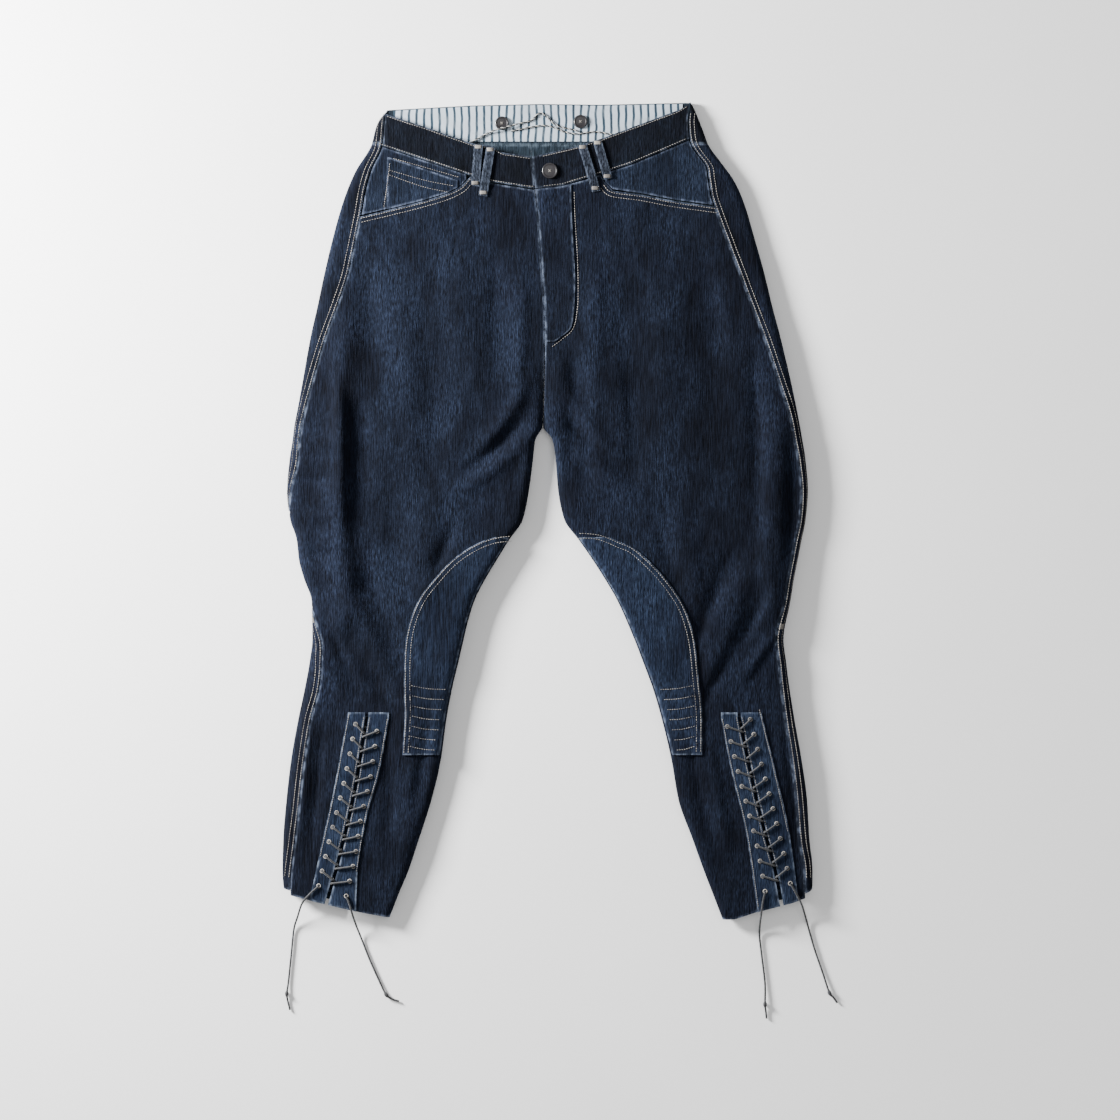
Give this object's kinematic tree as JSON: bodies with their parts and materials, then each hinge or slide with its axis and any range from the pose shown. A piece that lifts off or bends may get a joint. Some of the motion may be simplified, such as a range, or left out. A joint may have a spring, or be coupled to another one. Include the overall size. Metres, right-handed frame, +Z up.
{
  "type": "denim breeches laid flat",
  "caption": "Denim breeches laid flat, front up, with flared thighs, laced calves, crescent knee patches and a raised back waist.",
  "frame": {"origin": "on the surface under the middle of the garment's outline, the free lace ends left out", "axes": "+Y runs from the hems to the waist, +X to the right of the front as it lies, +Z up from the surface"},
  "size_m": [0.7069, 1.1666, 0.0248],
  "materials": {
    "denim": "dark indigo twill, slubby, slightly worn at the edges",
    "ticking": "pale cotton ticking with narrow dark indigo stripes",
    "lace": "waxed round charcoal lace",
    "waist_cord": "black and off-white strands twisted together",
    "button": "satin black"
  },
  "bodies": {
    "root": {"front_left": "denim", "front_right": "denim", "back_left": "denim", "back_right": "denim", "waistband_back": "denim", "waistband_front_left": "denim", "waistband_front_right": "denim", "pocket_facing_left": "denim", "pocket_facing_right": "denim", "watch_pocket": "denim", "fly_piece": "denim", "knee_patch_left": "denim", "knee_patch_right": "denim", "flap_left_outer": "denim", "flap_left_inner": "denim", "flap_right_outer": "denim", "flap_right_inner": "denim", "tongue_left": "denim", "tongue_right": "denim", "belt_loop_1": "denim", "belt_loop_2": "denim", "belt_loop_3": "denim", "belt_loop_4": "denim", "waistband_lining": "ticking", "lacing_left": "lace", "lacing_right": "lace", "lace_end_left_outer": "lace", "lace_end_left_inner": "lace", "lace_end_right_inner": "lace", "lace_end_right_outer": "lace", "waist_cord_upper": "waist_cord", "waist_cord_lower": "waist_cord", "back_button_left": "button", "back_button_right": "button", "front_button": "button"}
  },
  "joints": []
}
